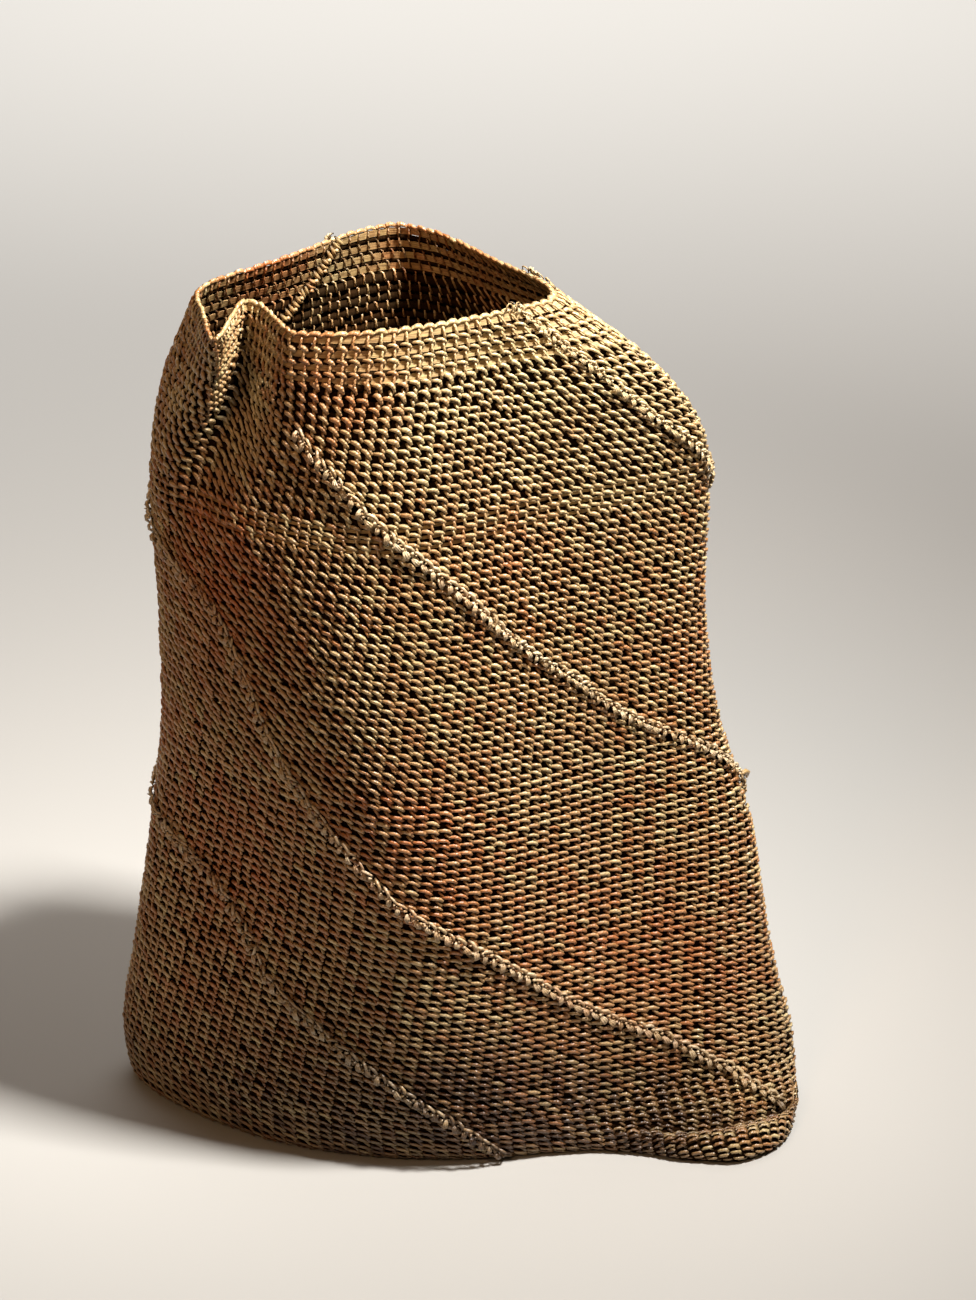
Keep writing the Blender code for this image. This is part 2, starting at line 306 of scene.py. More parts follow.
def row_line(path):
    """All that a row of stitches needs: its points, the step up to the next row, and outwards."""
    pitch = row_pitch_at(path)
    here, above, below = cloth_line(path), cloth_line(path - pitch), cloth_line(path + pitch)
    slope = cloth_line(path - SLOPE_STEP) - cloth_line(path + SLOPE_STEP)
    up = (above - below) / 2
    along = np.roll(here, -1, 0) - np.roll(here, 1, 0)
    square = np.maximum((along * along).sum(axis=1, keepdims=True), TINY)
    lean = (up * along).sum(axis=1, keepdims=True) / square
    taken = LEAN_TAKEN * np.clip(LEAN_FADE - np.abs(fractions - LEAN_MIDDLE) / LEAN_WIDTH, 0, 1)
    up = up - along * lean * taken[:, None]
    shifts = range(-SMOOTHING, SMOOTHING + 1)
    out, up = (sum(np.roll(values, shift, 0) for shift in shifts) / len(shifts)
               for values in (unit(np.cross(along, slope)), up))
    run = run_along(np.vstack([here, here[:1]]))
    live = UNDER_RUN[-1] > path - WALL_PATH + pitch * 0.5
    return {"path": path, "pitch": pitch, "points": here, "up": up, "out": unit(out),
            "run": run, "live": live}


paths = [FIRST_ROW]
while paths[-1] + row_pitch_at(paths[-1]) < LAST_PATH:
    paths.append(paths[-1] + row_pitch_at(paths[-1]))
rows = [row_line(path) for path in paths]
print(len(rows), "rows of stitches, longest", round(max(row["run"][-1] for row in rows)), "mm")


# %% Where each stitch of a row starts
STITCH_PITCH = ((0, 6.1), (40, 5.9), (170, 6.0), (283, 6.4), (408, 6.6), (700, 6.6))   # path, length
SPARE_MIDDLE, SPARE_WIDTH = 0.53, 0.07    # where the odd remainder goes, in shares of the way round
FEWEST = 4       # stitches in the shortest row


def stitch_starts(row):
    """Start and length of every stitch in a row, and whether the cloth reaches that far there."""
    pitch = float(np.interp(row["path"], *zip(*STITCH_PITCH)))
    whole = row["run"][-1]
    count = max(FEWEST, round(whole / pitch))
    place = (np.arange(count) + 0.5) / count
    share = np.clip(1 - np.abs(place - SPARE_MIDDLE) / SPARE_WIDTH, 0, None) + TINY
    length = pitch + (whole - count * pitch) * share / share.sum()
    start = np.concatenate([[0], np.cumsum(length)[:-1]])
    live = np.append(row["live"], row["live"][0]).astype(float)
    return start, length, np.interp(start + length / 2, row["run"], live) > 0.5


total = sum(int(stitch_starts(row)[2].sum()) for row in rows)
print(total, "stitches in the whole bag")

# %% [markdown]
# ## One stitch
# A stitch starts behind its neighbour's end, swells as it arches to the right, dips over the start
# of the next one, and goes back up behind it. From under its right half a thinner leg runs down to
# the next row, the part of the string that hooks it. Behind both lies the run of string on the inner
# side, here one flat strip painted dark all over as the shade in the gaps. A curve object could draw
# it, but thirteen thousand curves are slow.
# Here one short tube of four sides is extruded step by step with bmesh, and its points are kept as
# arrays, so that it can be repeated along every row.

# %% Paths of the string in one stitch
SIDES = 4
STITCH = 6.0     # mm along the row that a template is made for
# each row: along (stitches), up (rows), out (mm), radius (mm)
ARC = (
    (-0.04, 0.12, -1.60, 0.72), (0.11, 0.20, 0.45, 1.02), (0.38, 0.15, 1.15, 1.36),
    (0.72, -0.08, 1.20, 1.26), (1.03, -0.47, 0.55, 0.74), (0.96, -0.74, -1.70, 0.70),
)
FLAT_ARC = (
    (-0.02, 0.03, -1.60, 0.74), (0.14, 0.09, 0.45, 1.02), (0.44, 0.11, 1.10, 1.34),
    (0.78, -0.04, 1.10, 1.22), (1.07, -0.38, 0.60, 0.74), (0.90, -0.72, -1.80, 0.72),
)
FOOT_ARC = (
    (-0.02, 0.04, -1.65, 0.80), (0.15, 0.09, 0.50, 1.06), (0.50, 0.09, 1.15, 1.36),
    (1.00, -0.26, 0.70, 0.86), (0.88, -0.72, -1.90, 0.78),
)
LEG = ((0.58, -0.28, -0.20, 0.70), (0.80, -0.64, 0.80, 0.76), (1.05, -1.00, 0.45, 0.68))
SHORT_LEG = ((0.60, -0.36, 0.10, 0.78), (1.06, -1.00, 0.62, 0.72))
# the run of string on the inner side, behind the gaps and behind the ribbons, painted dark all over
# as the shade in the gaps; its radius is a share of the row pitch
BACK = ((0.50, -0.62, -1.15, 0.61),)
RIBBON_BACK = ((0.50, -0.97, -0.05, 0.29),)
BACK_FLAT = 0.12
# over a ribbon the arc is level and its leg stands in front of the ribbon, as a post
POST_ARC = (
    (-0.02, 0.02, -0.80, 0.66), (0.13, 0.08, 0.75, 1.02), (0.40, 0.07, 1.45, 1.22),
    (0.72, -0.07, 1.45, 1.16), (1.00, -0.30, 0.70, 0.80), (0.96, -0.52, -1.40, 0.66),
)
POST = ((0.64, -0.10, 0.40, 0.66), (0.74, -0.38, 1.55, 0.68), (0.89, -0.76, 1.50, 0.70),
        (1.06, -1.03, 0.60, 0.70))
# the first row is a chain of plump lenses, the same from inside and outside
RIM_ARC = ((0.00, -0.11, 0.20, 0.76), (0.12, 0.02, 0.10, 1.12), (0.35, 0.08, 0.20, 1.28),
           (0.65, 0.06, 0.30, 1.28), (0.90, -0.05, 0.35, 1.02))
INNER_POST = ((0.66, -0.10, -0.60, 0.66), (0.78, -0.45, -1.20, 0.70), (0.94, -0.90, -0.80, 0.62))
# under the base the arcs lie flat
BASE_ARC = ((0.02, -0.06, -1.20, 0.95), (0.28, 0.09, 0.90, 1.30), (0.74, -0.06, 1.00, 1.26),
            (1.02, -0.52, -0.90, 0.92))


# %% Frames that turn with the string
def frames_along(points, closed):
    """A frame at every point of a path, and the quarter turns from its first to its last."""
    count, whole = len(points) - 1, points[-1] - points[0]
    before = np.vstack([points[-2] - whole if closed else 2 * points[0] - points[1], points[:-1]])
    after = np.vstack([points[1:], points[1] + whole if closed else 2 * points[-1] - points[-2]])
    tangents = unit(after - before)
    side = Vector((0, 0, 1)).cross(Vector(tangents[0])).normalized()
    made = []
    for k in range(count + 1):
        t = Vector(tangents[k])
        if k:
            side = Vector(tangents[k - 1]).rotation_difference(t) @ side
        made.append((t, side.copy()))
    # the tube's last ring has to meet its first corner on corner, so the spare turn is shared out
    first, last = made[0][1], made[-1][1]
    turn = math.atan2(first.cross(last).dot(made[0][0]), first.dot(last)) if closed else 0.0
    quarter = round(turn / (2 * math.pi / SIDES))
    spare = turn - quarter * 2 * math.pi / SIDES
    frames = []
    for k, (t, s) in enumerate(made):
        s = Matrix.Rotation(-spare * k / count, 3, t) @ s
        frames.append(Matrix((s, t.cross(s), t)).transposed())
    return frames, quarter


# %% Extruding a tube
def extruded(places, closed):
    """A bmesh tube through the places, and the ring and side that each of its vertices has."""
    bm = bmesh.new()
    ring = bmesh.ops.create_circle(bm, segments=SIDES, radius=1.0, matrix=places[0])["verts"]
    edges, number = bm.edges[:], {vert: (0, side) for side, vert in enumerate(ring)}
    for k in range(1, len(places)):
        made = bmesh.ops.extrude_edge_only(bm, edges=edges)["geom"]
        fresh = [g for g in made if isinstance(g, bmesh.types.BMVert)]
        edges = [g for g in made
                 if isinstance(g, bmesh.types.BMEdge) and all(v in fresh for v in g.verts)]
        for vert in fresh:
            old = next(number[e.other_vert(vert)] for e in vert.link_edges
                       if number.get(e.other_vert(vert), (-1, 0))[0] == k - 1)
            number[vert] = (k, old[1])
        bmesh.ops.transform(bm, matrix=places[k] @ places[k - 1].inverted(), verts=fresh)
    if not closed:
        bmesh.ops.holes_fill(bm, edges=[e for e in bm.edges if e.is_boundary], sides=SIDES)
    bmesh.ops.recalc_face_normals(bm, faces=bm.faces[:])
    return bm, number


def faced_outwards(bm, number, points):
    """An open tube has no inside for Blender to find, so its first face is tested by hand."""
    first = min((f for f in bm.faces if len({number[v][0] for v in f.verts}) == 2),
                key=lambda f: (f.calc_center_median() - Vector(points[0])).length)
    first.normal_update()
    if first.normal.dot(first.calc_center_median() - Vector(points[:2].mean(axis=0))) < 0:
        bmesh.ops.reverse_faces(bm, faces=bm.faces[:])


# %% A strand as arrays
# the gaps between the strings are painted dark as shade; these heights set where that shade starts
FACE_OUT, FACE_IN, FACE_FADE = 0.7, 1.8, 1.7    # mm: where the cloth's two faces fade to its gaps
ROUNDNESS = 0.4                     # how far the string's own roundness counts as height
HALF_STRING, INNER = 0.8, -0.6      # mm: its radius, and the height below which it is an inner one


def gap_shade_at(middle, offset):
    """Painted shade of a point, by how deep between the strings it lies: 0 on either face of the cloth,
    1 in the gaps.
    """
    height = middle + ROUNDNESS * offset
    outer = np.clip((FACE_OUT - height) / FACE_FADE, 0, 1)
    inner = np.clip((FACE_IN + height) / FACE_FADE, 0, 1)
    share = np.clip(offset / HALF_STRING + (middle > INNER), 0, 1)
    return outer * share + inner * (1 - share)


def strand(string, pitch=1.0, row_pitch=1.0, width=1.0, flat=1.0, closed=True, square=False,
           dark=False):
    """A tube extruded with bmesh, kept as arrays; a closed one runs on into the next stitch."""
    table = np.array(string, float)
    points, radius = table[:, :3] * (pitch, row_pitch, 1), table[:, 3] * width
    if closed:
        points, radius = np.vstack([points, points[0] + (pitch, 0, 0)]), np.append(radius, radius[0])
    frames, quarter = frames_along(points, closed)
    corner = Matrix.Rotation(math.pi / 4 if square else 0, 4, "Z")
    sizes = [Matrix.Diagonal((size, size * flat, 1, 1)) for size in radius]
    places = [Matrix.Translation(point) @ frame.to_4x4() @ size @ corner
              for point, frame, size in zip(points, frames, sizes)]
    bm, number = extruded(places, closed)
    faced_outwards(bm, number, points)

    rings, run = len(points) - (1 if closed else 0), run_along(points)
    co, faces, uvs = np.zeros((rings * SIDES, 3)), [], []
    for vert, (k, side) in number.items():
        if k < rings:
            co[k * SIDES + side] = vert.co
    # bmesh extrudes in no fixed order, so the faces are sorted by the rings and sides of their corners
    for where in sorted(([number[vert] for vert in face.verts] for face in bm.faces), key=sorted):
        sides, across = [side for _, side in where], len({k for k, _ in where}) == 2
        wrap = across and max(sides) - min(sides) > 1
        faces.append([-1 - (side + quarter) % SIDES if k == rings else k * SIDES + side
                      for k, side in where])
        uvs.append([(run[k], (side + SIDES if wrap and side == 0 else side) / SIDES)
                    for k, side in where])
    bm.free()
    middle = np.repeat(points[:rings], SIDES, axis=0)
    # painted shade: in the gaps, or all over a dark strand
    sunk = np.ones(len(co)) if dark else gap_shade_at(middle[:, 2], (co - middle)[:, 2])
    return {"middle": middle, "offset": co - middle, "faces": np.array(faces), "uvs": np.array(uvs),
            "sunk": sunk, "pitch": pitch, "row": row_pitch, "length": run[-1]}


def together(*templates):
    """Several templates as one; an index below zero still means a point of the next stitch."""
    faces, shift = [], 0
    for one in templates:
        faces.append(np.where(one["faces"] < 0, one["faces"] - shift, one["faces"] + shift))
        shift += len(one["middle"])
    joined = {key: np.concatenate([one[key] for one in templates])
              for key in ("middle", "offset", "uvs", "sunk")}
    return {**templates[0], **joined, "faces": np.concatenate(faces)}


pitch = row_pitch_at(100)
plain = together(strand(ARC, STITCH, pitch), strand(LEG, STITCH, pitch, closed=False))
print("one stitch:", 2 * len(plain["faces"]), "triangles, arc", round(plain["length"], 1), "mm long")

# %% [markdown]
# ## Laying a stitch along the rows
# One stitch is now repeated along each row. Every copy is bent to the cloth: its sideways place is
# measured along the row, its height along the slope of the cloth, and its depth along the outward
# direction. Hand work is never even, so each stitch is also a little fatter or thinner, higher or
# lower than its neighbour. The last ring of a stitch is the first ring of the next, so a whole row
# is one closed tube.

# %% Uneven hand
SHEET = 3.0          # thickness of the cloth
FLOOR_GAP = 0.05     # the lowest string lies this far above the floor
UNEVEN_WIDTH, UNEVEN_ARCH = 0.09, 0.5       # shares of the string's width and of the arch
UNEVEN_PLACE, UNEVEN_DEPTH = 0.30, 0.22     # mm


def uneven_by(amount, count, rng):
    """One small difference for each of some stitches, never more than twice the amount."""
    return amount * rng.normal(size=count).clip(-2, 2)[:, None]


def laid(row, template, rng, uneven=1.0, squeeze=1.0):
    """Vertices, faces, UVs, owner stitch, stitch centres and depth of one row."""
    start, length, live = stitch_starts(row)
    count, size = len(start), len(template["middle"])
    (x, y, z), (dx, dy, dz) = template["middle"].T[:, None], template["offset"].T[:, None]
    width = 1 + uneven_by(UNEVEN_WIDTH * uneven, count, rng)
    y = np.where(y > 0, y * (1 + uneven_by(UNEVEN_ARCH * uneven, count, rng)), y)
    x = x + dx * width + uneven_by(UNEVEN_PLACE * uneven, count, rng)
    y = y + dy * width + uneven_by(UNEVEN_PLACE * uneven, count, rng)
    z = (z + uneven_by(UNEVEN_DEPTH * uneven, count, rng) + dz * width) * squeeze
    place = (start[:, None] + x / template["pitch"] * length[:, None]) % row["run"][-1]

    def at(values):
        closed = np.vstack([values, values[:1]])
        return np.stack([np.interp(place, row["run"], closed[:, k]) for k in range(3)], axis=-1)

    up, out = at(row["up"]) * (y / template["row"])[..., None], unit(at(row["out"]))
    points = at(row["points"]) + up + out * (z - SHEET / 2)[..., None]
    points[..., 2] = np.maximum(points[..., 2], FLOOR_GAP)
    first = np.arange(count)[:, None, None] * size
    faces = template["faces"][None]
    index = np.where(faces >= 0, faces + first, (first + size) % (count * size) - 1 - faces)
    keep = live & np.roll(live, -1) if not live.all() else live
    string_before = (np.arange(count) * template["length"])[:, None, None, None]
    uvs = template["uvs"][None] + np.array([1, 0]) * string_before
    return (points.reshape(-1, 3), index[keep].reshape(-1, 4), uvs[keep].reshape(-1, 4, 2),
            np.repeat(np.arange(count), size), points.mean(axis=1), np.tile(template["sunk"], count))


# %% [markdown]
# ## Dye, bleaching, painted light and painted shade
# The string was dyed by hand before it was looped, so orange red comes and goes in soft clouds. Some
# of it has bleached to straw; one straw patch below the lip is painted light, lifting the fold's
# shade there. At the foot the string is painted darker as shade, most along the crease of the roll
# and low on the front and left. A vertex colour could be painted, but a short table of soft patches
# is easier to move. Each patch is a point on the bag, its radius, and its strength.

# %% Patches of colour, painted light and painted shade
RED_PATCHES = (
    (-119, -58, 328, 30, 0.75), (-108, -66, 305, 30, 0.50), (-103, -70, 280, 44, 0.35),
    (-60, -82, 416, 30, 0.30), (-68, -86, 392, 30, 0.20), (-30, -106, 196, 40, 0.42),
    (-3, -103, 170, 44, 0.36), (91, -56, 98, 52, 0.42), (140, -36, 72, 44, 0.30),
    (52, -80, 118, 40, 0.28), (21, -95, 40, 26, 0.55), (48, -90, 26, 32, 0.36),
    (21, -72, 326, 36, 0.32), (-108, -56, 142, 44, 0.42), (-120, -50, 176, 40, 0.32),
    (120, -13, 248, 40, 0.28), (-149, -2, 204, 44, 0.36), (-131, -45, 68, 44, 0.34),
    (-86, 36, 432, 24, 0.85), (-100, 20, 428, 22, 0.65), (-24, 87, 428, 26, 0.50),
    (10, 50, 420, 30, 0.45), (60, 60, 240, 56, 0.36), (-60, 84, 130, 60, 0.40),
    (-100, 66, 300, 50, 0.36), (90, 62, 90, 50, 0.34),
)
STRAW_AND_LIT_PATCHES = (
    (6, -59, 430, 44, 0.70), (60, -40, 400, 56, 0.80), (49, -47, 365, 60, 0.65),
    (100, -20, 380, 50, 0.65), (-10, -80, 372, 40, 0.45), (50, -67, 214, 42, 0.35),
    (-40, -104, 256, 38, 0.35), (150, -30, 40, 34, 0.40), (-60, 60, 420, 30, 0.60),
    # the last patch, below the lip, is painted light: it lifts the fold's shade there
    (-90, 70, 220, 60, 0.40), (40, 70, 350, 60, 0.50), (-98, -50, 386, 34, 0.55),
)
# painted shade at the foot: along the crease of the roll, low on the front and left, and all round at
# the floor
FOOT_SHADE_PATCHES = (
    (10, -96, 30, 42, 0.84), (60, -84, 18, 42, 0.76), (100, -85, 10, 18, 0.45),
    (-60, -92, 60, 50, 0.30), (-45, -98, 12, 46, 0.74), (112, -78, 6, 34, 0.50),
    (100, -56, 14, 30, 0.50), (166, -54, 7, 9, 0.80), (152, -65, 7, 9, 0.85),
    (134, -71, 7, 10, 0.85), (115, -75, 8, 10, 0.80), (98, -76, 11, 10, 0.70),
    (82, -80, 14, 10, 0.50), (-110, -66, 12, 50, 0.60), (-172, 0, 10, 40, 0.45),
    (-100, 74, 12, 60, 0.40), (0, 96, 12, 60, 0.45), (110, 62, 12, 60, 0.45),
    (172, -10, 12, 30, 0.35),
)


def patch_strength(patches, points):
    """How strongly a table of soft patches reaches each point."""
    left = np.ones(len(points))
    for x, y, z, radius, strength in patches:
        far = np.linalg.norm(points - (x, y, z), axis=1) / radius
        left *= 1 - strength * np.exp(-far ** 2)
    return 1 - left


# %% Joining strands into one piece
ON_POINTS = ("dye", "straw", "tint", "soil", "sunk")    # the values that the finish reads
# how much stitches differ, as shares of the patch there or of full strength
DYE_OWN, DYE_ANY, STRAW_ANY, FOOT_SHADE_OWN = 0.35, 0.07, 0.12, 0.2


def stitch_colours(centres, rng):
    """Dye, straw with painted light, tint and painted foot shade of each stitch, speckled because no
    two strips of leaf are alike.
    """
    speckle = rng.normal(size=(3, len(centres)))
    dye = patch_strength(RED_PATCHES, centres) * (1 + DYE_OWN * speckle[0]) + DYE_ANY * speckle[1]
    # bleached straw, and in one patch painted light
    straw = patch_strength(STRAW_AND_LIT_PATCHES, centres) + STRAW_ANY * speckle[2]
    soil = patch_strength(FOOT_SHADE_PATCHES, centres) * (1 + FOOT_SHADE_OWN * speckle[1])
    return np.stack([dye, straw, rng.uniform(size=len(centres)), soil])


def string_piece(name, parts, rng, finish, rounded=True):
    """One mesh object from many strands, with UVs along the string and colours on its points."""
    points, faces, uvs, values, offset = [], [], [], [], 0
    for co, index, uv, owner, centres, sunk in parts:
        points.append(co)
        faces.append(index + offset)
        uvs.append(uv)
        values.append(np.vstack([stitch_colours(centres, rng)[:, owner], sunk]))
        offset += len(co)
    points, faces, uvs = (np.concatenate(part) for part in (points, faces, uvs))
    values = np.concatenate(values, axis=1)
    used, inverse = np.unique(faces, return_inverse=True)
    faces = inverse.reshape(-1, 4)
    mesh = bpy.data.meshes.new(name)
    mesh.vertices.add(len(used))
    mesh.vertices.foreach_set("co", (points[used] * MM).ravel())
    mesh.loops.add(faces.size)
    mesh.loops.foreach_set("vertex_index", faces.ravel())
    mesh.polygons.add(len(faces))
    mesh.polygons.foreach_set("loop_start", np.arange(0, faces.size, 4))
    mesh.polygons.foreach_set("loop_total", np.full(len(faces), 4))
    mesh.polygons.foreach_set("use_smooth", np.full(len(faces), rounded))
    mesh.update(calc_edges=True)
    mesh.uv_layers.new(name="strand").data.foreach_set("uv", uvs.astype(np.float32).ravel())
    for attribute, value in zip(ON_POINTS, values[:, used]):
        value = value.clip(0, 1).astype(np.float32)
        mesh.attributes.new(attribute, "FLOAT", "POINT").data.foreach_set("value", value)
    mesh.materials.append(finish)
    print(name, "has", len(faces) * 2, "triangles")
    return in_scene(name, mesh)


# %% [markdown]
# ## Plant fibre
# The string is rolled on the thigh from strips of leaf, so it is matt to silky, streaked along its
# length, and twisted. Every stitch keeps one tone of its own, from brown to straw. Streaks and
# twist follow the string's own UV, so they run with it through every bend. Where the string goes
# behind, into the gaps, it is painted dark as shade and loses its shine, and at the foot it is painted
# darker as shade too. One recipe makes the string, the paler knots and the ribbons.

# %% A finish made of nodes
# painted colours: the second is the shade at the foot, the third the shade in the gaps and under the
# knots
STREAK, FOOT_SHADE, GAP_SHADE = (0.16, 0.075, 0.025), (0.058, 0.026, 0.009), (0.010, 0.004, 0.0015)
GAP_SHADE_DEPTHS = (0.10, 0.75)    # how deep a point lies where the painted shade of the gaps starts, and where it is full


def fibre(name, dark, light, straw, red, streak, twist, roughness, fine=7.0):
    """Procedural plant fibre, with painted shade at the foot and in the gaps: four colours, how
    streaked, twisted and rough it is, and how fine.
    """
    finish = bpy.data.materials.new(name)
    finish.use_nodes = True
    nodes, links = finish.node_tree.nodes, finish.node_tree.links

    def node(kind, inputs=(), output=0, **settings):
        """One output of a new node, whose inputs take values or the outputs of other nodes."""
        made = nodes.new("ShaderNode" + kind)
        for setting, value in settings.items():
            setattr(made, setting, value)
        for socket, value in dict(inputs).items():
            if isinstance(value, bpy.types.NodeSocket):
                links.new(value, made.inputs[socket])
            else:
                made.inputs[socket].default_value = value
        return made.outputs[output]

    def value_of(attribute):
        return node("Attribute", output="Fac", attribute_name=attribute)

    def mixed(factor, first, second):
        colours = (colour if isinstance(colour, bpy.types.NodeSocket) else (*colour, 1)
                   for colour in (first, second))
        return node("Mix", zip((0, 6, 7), (factor, *colours)), output=2, data_type="RGBA")

    def ramp(value, lowest, highest, start, end):
        return node("MapRange", enumerate((value, lowest, highest, start, end)))

    uv = node("UVMap", uv_map="strand")
    stretched = node("Mapping", {0: uv, "Scale": (0.07, fine, 1.0)})
    grain = node("TexNoise", {0: stretched, "Scale": 1.6, "Detail": 4.0})
    ply = node("TexWave", {0: uv, "Scale": 0.35, "Distortion": 1.5}, output="Fac",
               wave_type="BANDS", bands_direction="DIAGONAL")
    cloud = node("TexNoise", {0: node("TexCoord", output="Object"), "Scale": 26.0, "Detail": 2.0})

    colour = mixed(value_of("tint"), dark, light)
    colour = mixed(ramp(value_of("straw"), 0.05, 0.95, 0.0, 0.85), colour, straw)
    colour = mixed(ramp(cloud, 0.35, 0.75, 0.0, 0.35), colour, dark)
    colour = mixed(ramp(value_of("dye"), 0.05, 0.9, 0.0, 0.9), colour, red)
    colour = mixed(ramp(grain, 0.35, 0.68, streak, 0.0), colour, STREAK)
    # painted shade: the foot and the gaps are darkened, and the gaps lose their shine
    colour = mixed(value_of("soil"), colour, FOOT_SHADE)
    colour = mixed(ramp(value_of("sunk"), *GAP_SHADE_DEPTHS, 0.0, 0.98), colour, GAP_SHADE)
    rough = ramp(grain, 0.3, 0.7, roughness + 0.1, roughness - 0.1)
    shine = ramp(value_of("sunk"), *GAP_SHADE_DEPTHS, 0.75, 0.0)
    relief = node("Math", enumerate((ply, twist, grain)), operation="MULTIPLY_ADD")
    bump = node("Bump", {"Strength": 0.55, "Distance": 0.0004, "Height": relief})
    for socket, value in (("Base Color", colour), ("Roughness", rough),
                          ("Specular IOR Level", shine), ("Normal", bump)):
        links.new(value, nodes["Principled BSDF"].inputs[socket])
    return finish


string_fibre = fibre("string_fibre", dark=(0.41, 0.165, 0.047), light=(0.69, 0.56, 0.28),
                     straw=(0.75, 0.63, 0.34), red=(0.56, 0.155, 0.04),
                     streak=0.6, twist=0.8, roughness=0.38)
knot_fibre = fibre("knot_fibre", dark=(0.54, 0.38, 0.19), light=(0.77, 0.65, 0.44),
                   straw=(0.76, 0.61, 0.33), red=(0.54, 0.24, 0.10),
                   streak=0.6, twist=0.5, roughness=0.44)
ribbon_fibre = fibre("ribbon_fibre", dark=(0.48, 0.31, 0.12), light=(0.70, 0.51, 0.22),
                     straw=(0.79, 0.64, 0.33), red=(0.54, 0.18, 0.06),
                     streak=0.85, twist=0.0, roughness=0.42, fine=14.0)
print("finishes:", string_fibre.name, knot_fibre.name, ribbon_fibre.name)

# %% [markdown]
# ## The looped wall and base
# The cloth is cut into seven pieces by path only to keep each mesh a handy size; nothing shows where
# they meet. Under the mouth, and in one band lower down, the rows carry a flat ribbon, so their
# stitches stand over it as posts. Towards the foot the maker pulled the string tighter, and the
# arcs lie flatter there. Where the cloth lies on the floor, the stitches are pressed flatter still.

# %% Seven pieces of looped cloth
RIBBON_END, RIBBON_BAND = 24, (86, 101)    # paths: end of the upper ribbons, band of the lower
LINING_END = 480    # path past which no dark strip is needed behind the rows
PRESSED = 0.62      # depth of the stitches that the floor presses flat
CLOTH_SEED = 40
ZONES = (
    # name, path from, path to, row pitch, thickness, unevenness, depth, arc, leg
    ("looped_mouth", -1, RIBBON_END, 6.1, 0.88, 0.6, 1.0, POST_ARC, POST),
    ("looped_upper_wall", RIBBON_END, 130, 5.15, 0.89, 1.0, 1.0, ARC, LEG),
    ("looped_middle_wall", 130, 228, 4.95, 0.87, 1.0, 1.0, ARC, LEG),
    ("looped_lower_wall", 228, 322, 4.7, 0.87, 1.0, 1.0, FLAT_ARC, SHORT_LEG),
    ("looped_foot_wall", 322, WALL_PATH, 4.3, 0.86, 1.0, 1.0, FOOT_ARC, SHORT_LEG),
    ("looped_foot", WALL_PATH, 452, 4.3, 0.95, 0.9, PRESSED, FOOT_ARC, SHORT_LEG),
    ("looped_base", 452, LAST_PATH, 4.3, 0.95, 0.9, PRESSED, BASE_ARC, None),
)


def in_ribbon_band(row):
    """Whether a row lies in the lower band of ribbons."""
    return RIBBON_BAND[0] < row["path"] < RIBBON_BAND[1]


def stitch_for(row, row_pitch, thick, arc, leg):
    """The template that a row is made with."""
    if row["path"] == FIRST_ROW:
        rim = strand(RIM_ARC, STITCH, row_pitch)
        rim["sunk"][:] = 0.0
        strands = [rim, *(strand(post, STITCH, row_pitch, closed=False) for post in (POST, INNER_POST))]
    else:
        if in_ribbon_band(row):
            arc, leg = POST_ARC, POST
        strands = [strand(arc, STITCH, row_pitch, width=thick)]
        if leg:
            strands.append(strand(leg, STITCH, row_pitch, closed=False))
    if row["path"] <= LINING_END:
        inner = BACK if row["path"] > RIBBON_END else RIBBON_BACK
        # the inner run of string, painted dark all over as the shade in the gaps
        strands.append(strand(inner, STITCH, row_pitch, width=row_pitch, flat=BACK_FLAT, dark=True))
    return together(*strands)


string_pieces = []
for order, (name, start, end, row_pitch, thick, uneven, squeeze, arc, leg) in enumerate(ZONES):
    rng = np.random.default_rng(CLOTH_SEED + order)
    parts = [laid(row, stitch_for(row, row_pitch, thick, arc, leg), rng, uneven=uneven, squeeze=squeeze)
             for row in rows if start <= row["path"] < end]
    string_pieces.append(string_piece(name, parts, rng, string_fibre))

# %% [markdown]
# ## Flat ribbons
# Four strips of flat leaf run round under the mouth, and three more in the band below. Each lies in
# the gap under a row of arcs, behind the posts and in front of their backs, and bows out a little
# between them. A ribbon could be one curve with a flat bevel, but the stitch way bends it to the
# rows for nothing: its template is the same strand, square in section, pressed flat.

# %% Ribbons in their rows
RIBBON = ((0.08, -0.46, -0.35, 2.26), (0.32, -0.46, -0.14, 2.40), (0.58, -0.46, -0.06, 2.44),
          (0.84, -0.46, -0.16, 2.34))
RIBBON_FLAT, RIBBON_UNEVEN, RIBBON_SEED = 0.2, 0.35, 7
BAND_WIDTH = 0.45        # width of the lower ribbons, as a share of the upper ones
FIRST_LIFT = 0.07        # rows by which the first ribbon is raised, up to the rim

ribbon_rng = np.random.default_rng(RIBBON_SEED)
ribbon_rows = [row for row in rows if row["path"] < RIBBON_END or in_ribbon_band(row)]
ribbon_parts = []
for row in ribbon_rows:
    lift = FIRST_LIFT if row["path"] == FIRST_ROW else 0.0
    template = strand([(along, up + lift, out, radius) for along, up, out, radius in RIBBON],
                      STITCH, row["pitch"], width=BAND_WIDTH if in_ribbon_band(row) else 1.0,
                      flat=RIBBON_FLAT, square=True)
    template["sunk"][:] = 0.0
    ribbon_parts.append(laid(row, template, ribbon_rng, uneven=RIBBON_UNEVEN))
ribbons = string_piece("flat_ribbons", ribbon_parts, ribbon_rng, ribbon_fibre, rounded=False)
print(len(ribbon_rows), "ribbons")

# %% [markdown]
# ## Spiral ridges
# Four ridges of extra string wind down the bag to its foot, from the mouth or a little below. Each
# is a row of knots: a plump bud of three strands that hangs to the lower side, a long arc on the
# upper side, and a bead and a short tip between. A curve would give a smooth cord, so one knot is
# built and repeated every few millimetres along the lines, which are tables of height and meridian.

